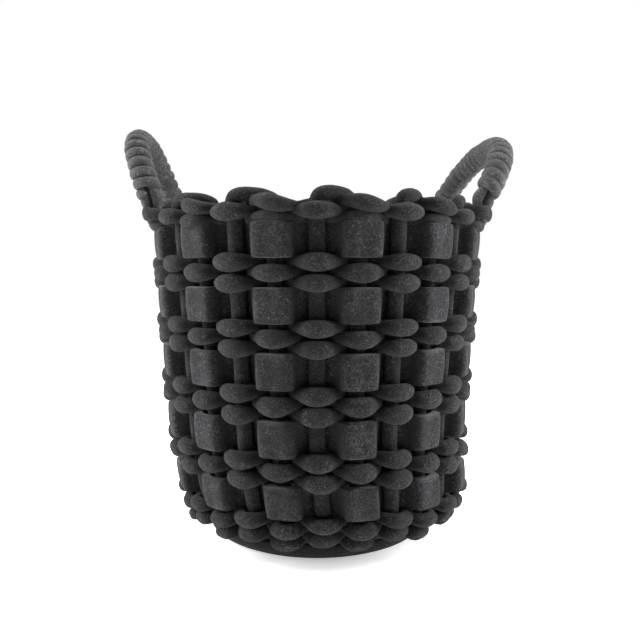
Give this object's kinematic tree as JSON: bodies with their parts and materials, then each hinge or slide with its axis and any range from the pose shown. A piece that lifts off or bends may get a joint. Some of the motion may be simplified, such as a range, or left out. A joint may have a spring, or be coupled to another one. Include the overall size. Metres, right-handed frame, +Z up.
{
  "type": "woven felt planter basket",
  "caption": "Round planter basket woven from felt rope and felt strip over upright rope stakes, with a bent-over border and two wrapped rope handles.",
  "frame": {"origin": "centre of the sole's underside, on the surface that the basket stands on", "axes": "+Z up, front towards -Y, right-hand handle towards +X"},
  "size_m": [0.4093, 0.3623, 0.424],
  "materials": {
    "rope_felt": "charcoal heather felt rope, matt and fuzzy",
    "stake_felt": "charcoal heather felt rope, matt and fuzzy",
    "band_felt": "charcoal pressed felt strip, matt, with cut edges",
    "sole_felt": "near-black pressed felt, matt",
    "handle_felt": "grey heather felt rope, matt and fuzzy"
  },
  "bodies": {
    "basket": {"base_sole": "sole_felt", "floor_disc": "band_felt", "stake_01": "stake_felt", "stake_02": "stake_felt", "stake_03": "stake_felt", "stake_04": "stake_felt", "stake_05": "stake_felt", "stake_06": "stake_felt", "stake_07": "stake_felt", "stake_08": "stake_felt", "stake_09": "stake_felt", "stake_10": "stake_felt", "stake_11": "stake_felt", "stake_12": "stake_felt", "stake_13": "stake_felt", "stake_14": "stake_felt", "stake_15": "stake_felt", "stake_16": "stake_felt", "stake_17": "stake_felt", "stake_18": "stake_felt", "stake_19": "stake_felt", "stake_20": "stake_felt", "stake_21": "stake_felt", "stake_22": "stake_felt", "stake_23": "stake_felt", "stake_24": "stake_felt", "stake_25": "stake_felt", "stake_26": "stake_felt", "rope_row_01": "rope_felt", "rope_row_02": "rope_felt", "rope_row_03": "rope_felt", "rope_row_04": "rope_felt", "rope_row_05": "rope_felt", "rope_row_06": "rope_felt", "rope_row_07": "rope_felt", "rope_row_08": "rope_felt", "rope_row_09": "rope_felt", "rope_row_10": "rope_felt", "rope_row_11": "rope_felt", "rope_row_12": "rope_felt", "foot_row_1": "rope_felt", "foot_row_2": "rope_felt", "foot_row_3": "rope_felt", "foot_row_4": "rope_felt", "border_row": "rope_felt", "rim_row_upper": "rope_felt", "rim_row_lower": "rope_felt", "felt_band_1": "band_felt", "felt_band_2": "band_felt", "felt_band_3": "band_felt", "felt_band_4": "band_felt", "felt_band_5": "band_felt", "left_handle_front_tail": "handle_felt", "left_handle_back_tail": "handle_felt", "right_handle_front_tail": "handle_felt", "right_handle_back_tail": "handle_felt"},
    "left_handle": {"left_handle_core": "handle_felt", "left_handle_wrap": "handle_felt"},
    "right_handle": {"right_handle_core": "handle_felt", "right_handle_wrap": "handle_felt"}
  },
  "joints": [
    {"name": "left_handle_tilt", "type": "hinge", "parent": "basket", "child": "left_handle", "pos_m": [-0.16407, 0, 0.34011], "axis": [0, -1, 0], "range_deg": [-25, 35]},
    {"name": "right_handle_tilt", "type": "hinge", "parent": "basket", "child": "right_handle", "pos_m": [0.15424, 0.01873, 0.34011], "axis": [-0.1205, 0.9927, 0], "range_deg": [-35, 25]}
  ]
}
